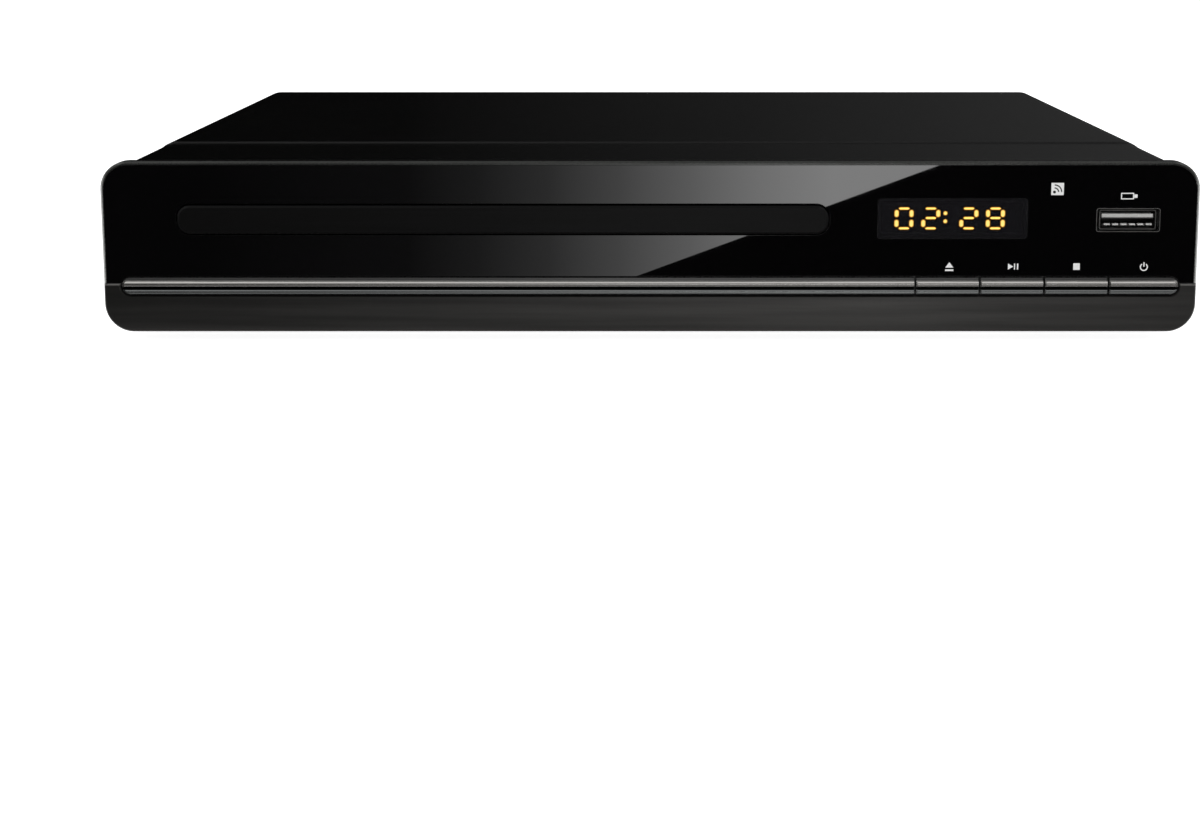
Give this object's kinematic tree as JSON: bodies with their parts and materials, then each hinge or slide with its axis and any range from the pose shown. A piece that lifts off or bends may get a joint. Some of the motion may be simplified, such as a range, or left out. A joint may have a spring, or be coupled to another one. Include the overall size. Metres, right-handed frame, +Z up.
{
  "type": "dvd player with tray",
  "caption": "Slim disc player: steel case, gloss front with motorised disc drawer, lit display, keys and USB port.",
  "frame": {"origin": "on the table, under the middle of the case and its jacks", "axes": "+X to the right seen from the front, +Y to the back, +Z up"},
  "size_m": [0.27, 0.216, 0.0455],
  "materials": {
    "cover_paint": "satin",
    "chassis_steel": "satin",
    "foot_rubber": "matt",
    "black_screw": "satin",
    "bezel_grey": "satin",
    "gloss_black": "high gloss",
    "fascia_grey": "horizontally brushed, dark",
    "bar_metal": "satin",
    "key_metal": "satin",
    "window_smoke": "gloss",
    "display_black": "matt",
    "segment_amber": "lit",
    "board_green": "solder resist",
    "board_tan": "phenolic paper",
    "switch_steel": "satin",
    "usb_steel": "bright",
    "usb_plastic": "satin",
    "ir_plastic": "gloss",
    "tray_plastic": "fine texture",
    "door_plastic": "satin",
    "loader_plastic": "fine texture",
    "gear_plastic": "natural acetal",
    "belt_rubber": "matt",
    "motor_steel": "satin",
    "traverse_zinc": "zinc plated",
    "rod_steel": "ground",
    "turntable_black": "satin",
    "pickup_alloy": "die cast",
    "lens_holder": "gloss",
    "chip_black": "epoxy",
    "sink_aluminium": "plain",
    "can_sleeve": "printed sleeve left plain",
    "transformer_tape": "taped core",
    "inlet_black": "satin",
    "pin_brass": "plated",
    "jack_nickel": "plated",
    "ring_yellow": "gloss",
    "ring_white": "gloss",
    "ring_red": "gloss",
    "ribbon_white": "satin"
  },
  "bodies": {
    "case": {"top_cover": "cover_paint", "rear_panel": "cover_paint", "bottom_chassis": "chassis_steel", "clamp_bridge": "chassis_steel", "rubber_feet": "foot_rubber", "loader_dampers": "foot_rubber", "case_screws": "black_screw", "front_bezel": "bezel_grey", "gloss_panel": "gloss_black", "lower_fascia": "fascia_grey", "trim_bar": "bar_metal", "display_window": "window_smoke", "display_module": "display_black", "display_segments": "segment_amber", "front_board": "board_green", "main_board": "board_green", "power_board": "board_tan", "tact_switches": "switch_steel", "usb_shell": "usb_steel", "usb_tongue": "usb_plastic", "ir_receiver": "ir_plastic", "loader_frame": "loader_plastic", "drive_belt": "belt_rubber", "loading_motor": "motor_steel", "inner_screws": "rod_steel", "decoder_chip": "chip_black", "heat_sinks": "sink_aluminium", "capacitors": "can_sleeve", "transformer": "transformer_tape", "power_inlet": "inlet_black", "av_jack_block": "inlet_black", "inlet_pins": "pin_brass", "av_jack_shells": "jack_nickel", "yellow_ring": "ring_yellow", "white_ring": "ring_white", "red_ring": "ring_red", "ribbon_cables": "ribbon_white"},
    "drawer": {"tray": "tray_plastic", "tray_door": "door_plastic"},
    "drive_wheel": {"drive_gear": "gear_plastic"},
    "belt_wheel": {"pulley_gear": "gear_plastic"},
    "motor_wheel": {"motor_pulley": "gear_plastic"},
    "cam": {"cam_slider": "gear_plastic"},
    "traverse": {"traverse_frame": "traverse_zinc", "guide_rods": "rod_steel", "spindle_motor": "motor_steel", "sled_motor": "motor_steel"},
    "spindle": {"turntable": "turntable_black", "turntable_pad": "belt_rubber"},
    "clamp": {"clamp_puck": "loader_plastic"},
    "pickup": {"pickup_body": "pickup_alloy"},
    "lens": {"pickup_lens": "lens_holder"},
    "sled_wheel": {"sled_gear": "gear_plastic"},
    "sled_motor_wheel": {"sled_pinion": "gear_plastic"},
    "eject_key": {"eject_button": "key_metal"},
    "play_key": {"play_button": "key_metal"},
    "stop_key": {"stop_button": "key_metal"},
    "power_key": {"power_button": "key_metal"}
  },
  "joints": [
    {"name": "tray_slide", "type": "slide", "parent": "case", "child": "drawer", "axis": [0, -1, 0], "range_m": [0, 0.135]},
    {"name": "drive_gear_spin", "type": "hinge", "parent": "case", "child": "drive_wheel", "pos_m": [0.018, -0.082, 0.024], "axis": [0, 0, 1], "range_deg": [-650, 5]},
    {"name": "pulley_gear_spin", "type": "hinge", "parent": "case", "child": "belt_wheel", "pos_m": [0.001, -0.082, 0.024], "axis": [0, 0, 1], "range_deg": [-10, 1560]},
    {"name": "motor_pulley_spin", "type": "hinge", "parent": "case", "child": "motor_wheel", "pos_m": [-0.026, -0.082, 0.019], "axis": [0, 0, 1], "range_deg": [-20, 5180]},
    {"name": "traverse_lift", "type": "hinge", "parent": "case", "child": "traverse", "pos_m": [-0.0362, 0.058, 0.021], "axis": [-1, 0, 0], "range_deg": [0, 4]},
    {"name": "cam_slide", "type": "slide", "parent": "case", "child": "cam", "axis": [1, 0, 0], "range_m": [0, 0.018]},
    {"name": "turntable_spin", "type": "hinge", "parent": "traverse", "child": "spindle", "pos_m": [-0.0362, -0.03661, 0.02641], "axis": [0, -0.0698, 0.9976], "continuous": true},
    {"name": "clamp_spin", "type": "hinge", "parent": "case", "child": "clamp", "pos_m": [-0.0362, -0.036, 0.0365], "axis": [0, 0, 1], "continuous": true},
    {"name": "sled_slide", "type": "slide", "parent": "traverse", "child": "pickup", "axis": [0, 0.9976, 0.0698], "range_m": [0, 0.035]},
    {"name": "lens_focus", "type": "slide", "parent": "pickup", "child": "lens", "axis": [0, -0.0698, 0.9976], "range_m": [-0.0004, 0.0004], "stiffness_N_per_m": 100},
    {"name": "sled_gear_spin", "type": "hinge", "parent": "traverse", "child": "sled_wheel", "pos_m": [-0.0688, 0.00763, 0.0245], "axis": [0, -0.0698, 0.9976], "range_deg": [-5, 560]},
    {"name": "sled_pinion_spin", "type": "hinge", "parent": "traverse", "child": "sled_motor_wheel", "pos_m": [-0.0688, -0.00314, 0.02374], "axis": [0, -0.0698, 0.9976], "range_deg": [-1455, 10]},
    {"name": "eject_press", "type": "slide", "parent": "case", "child": "eject_key", "axis": [0, 1, 0], "range_m": [0, 0.0006], "stiffness_N_per_m": 400},
    {"name": "play_press", "type": "slide", "parent": "case", "child": "play_key", "axis": [0, 1, 0], "range_m": [0, 0.0006], "stiffness_N_per_m": 400},
    {"name": "stop_press", "type": "slide", "parent": "case", "child": "stop_key", "axis": [0, 1, 0], "range_m": [0, 0.0006], "stiffness_N_per_m": 400},
    {"name": "power_press", "type": "slide", "parent": "case", "child": "power_key", "axis": [0, 1, 0], "range_m": [0, 0.0006], "stiffness_N_per_m": 400}
  ],
  "couplings": [
    {"joint": "drive_gear_spin", "follows": "tray_slide", "rad_per_m": -83.333},
    {"joint": "pulley_gear_spin", "follows": "tray_slide", "rad_per_m": 200},
    {"joint": "motor_pulley_spin", "follows": "tray_slide", "rad_per_m": 666.67},
    {"joint": "cam_slide", "follows": "traverse_lift", "m_per_rad": 0.25783},
    {"joint": "clamp_spin", "follows": "turntable_spin", "ratio": 1},
    {"joint": "sled_gear_spin", "follows": "sled_slide", "rad_per_m": 277.78},
    {"joint": "sled_pinion_spin", "follows": "sled_slide", "rad_per_m": -722.22}
  ]
}
